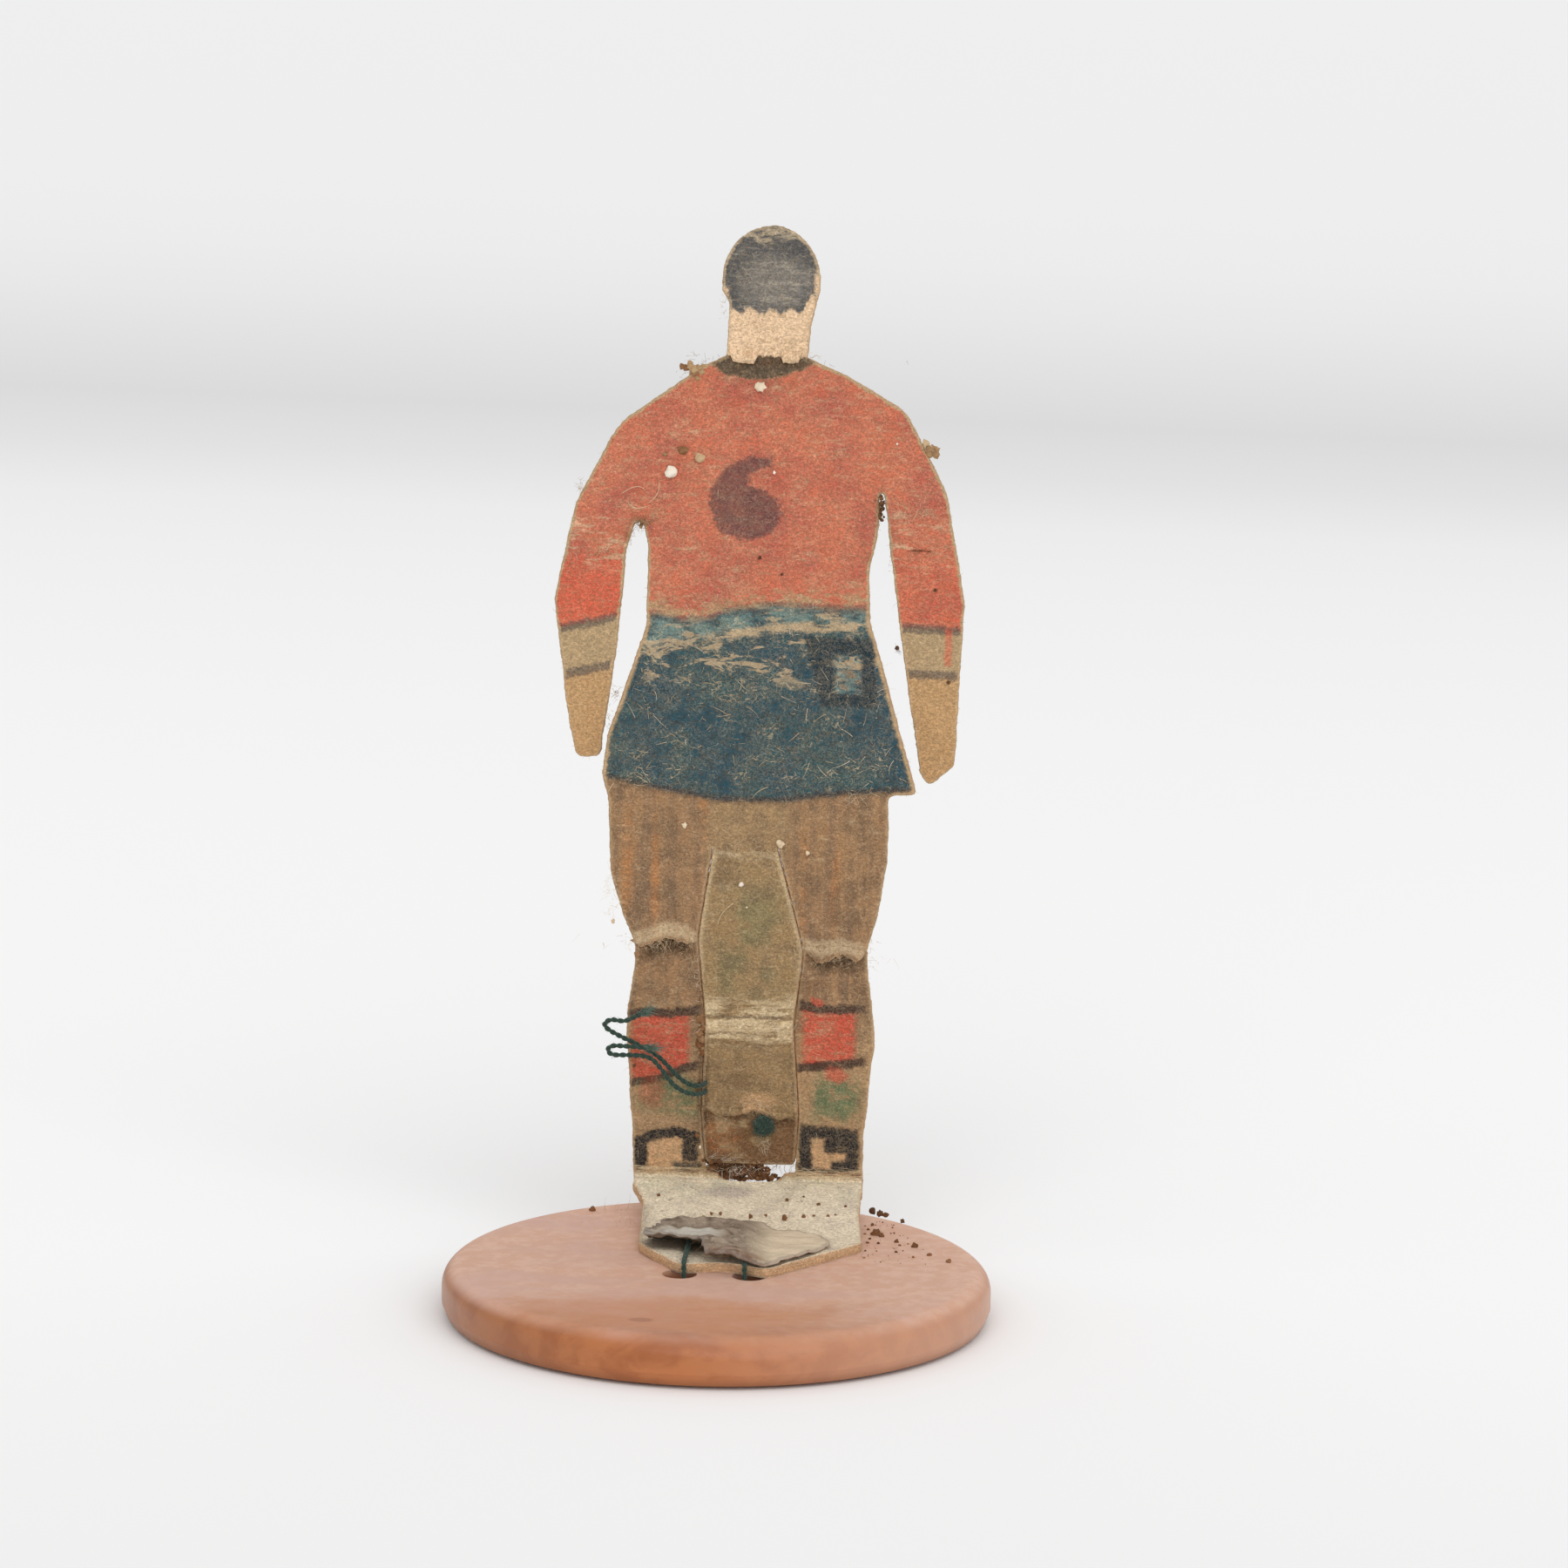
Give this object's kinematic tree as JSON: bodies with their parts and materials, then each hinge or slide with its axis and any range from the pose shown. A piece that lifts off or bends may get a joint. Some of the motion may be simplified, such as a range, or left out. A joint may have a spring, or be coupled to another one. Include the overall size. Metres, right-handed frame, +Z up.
{
  "type": "table football figure",
  "caption": "Flat card footballer sewn upright on a coat button, with creased card folds and a thread-pulled kicking tongue between the legs.",
  "frame": {"origin": "centre of the button's underside, on the surface it stands on", "axes": "+Z up the figure; the figure's back faces -Y and its front +Y; its left side is at -X"},
  "size_m": [0.03, 0.03, 0.0583],
  "materials": {
    "button": "satin",
    "bare_card": "matte",
    "torn_card": "matte",
    "painted_card": "matte",
    "thread": "matte"
  },
  "bodies": {
    "base": {"button_base": "button", "foot_tab": "bare_card", "torn_ply": "torn_card", "stitch_left": "thread", "stitch_right": "thread"},
    "shins": {"left_shin": "painted_card", "right_shin": "painted_card"},
    "torso": {"torso": "painted_card"},
    "head": {"head": "painted_card"},
    "left_arm": {"left_arm": "painted_card"},
    "right_arm": {"right_arm": "painted_card"},
    "kick_flap": {"kick_flap_upper": "bare_card"},
    "flap_tip": {"kick_flap_lower": "bare_card", "thread_knot": "thread", "kick_thread_long": "thread", "kick_thread_short": "thread"}
  },
  "joints": [
    {"name": "ankle_fold", "type": "hinge", "parent": "base", "child": "shins", "pos_m": [0.001, 0.012, 0.00435], "axis": [1, 0, 0], "range_deg": [-35, 30]},
    {"name": "knee_fold", "type": "hinge", "parent": "shins", "child": "torso", "pos_m": [0.001, 0.01104, 0.01807], "axis": [1, 0, 0], "range_deg": [-25, 6.5]},
    {"name": "neck_fold", "type": "hinge", "parent": "torso", "child": "head", "pos_m": [0.00122, 0.01249, 0.05119], "axis": [1, 0, 0], "range_deg": [-20, 30]},
    {"name": "left_arm_fold", "type": "hinge", "parent": "torso", "child": "left_arm", "pos_m": [-0.0077, 0.01206, 0.04144], "axis": [1, 0, 0], "range_deg": [-20, 25]},
    {"name": "right_arm_fold", "type": "hinge", "parent": "torso", "child": "right_arm", "pos_m": [0.0096, 0.01215, 0.04344], "axis": [1, 0, 0], "range_deg": [-20, 25]},
    {"name": "kick_fold", "type": "hinge", "parent": "torso", "child": "kick_flap", "pos_m": [0.00055, 0.01129, 0.02376], "axis": [-1, 0, 0], "range_deg": [-4, 60], "stiffness_Nm_per_rad": 0.00005},
    {"name": "flap_fold", "type": "hinge", "parent": "kick_flap", "child": "flap_tip", "pos_m": [0.00095, 0.01078, 0.01402], "axis": [-1, 0, 0], "range_deg": [-10, 30]}
  ]
}
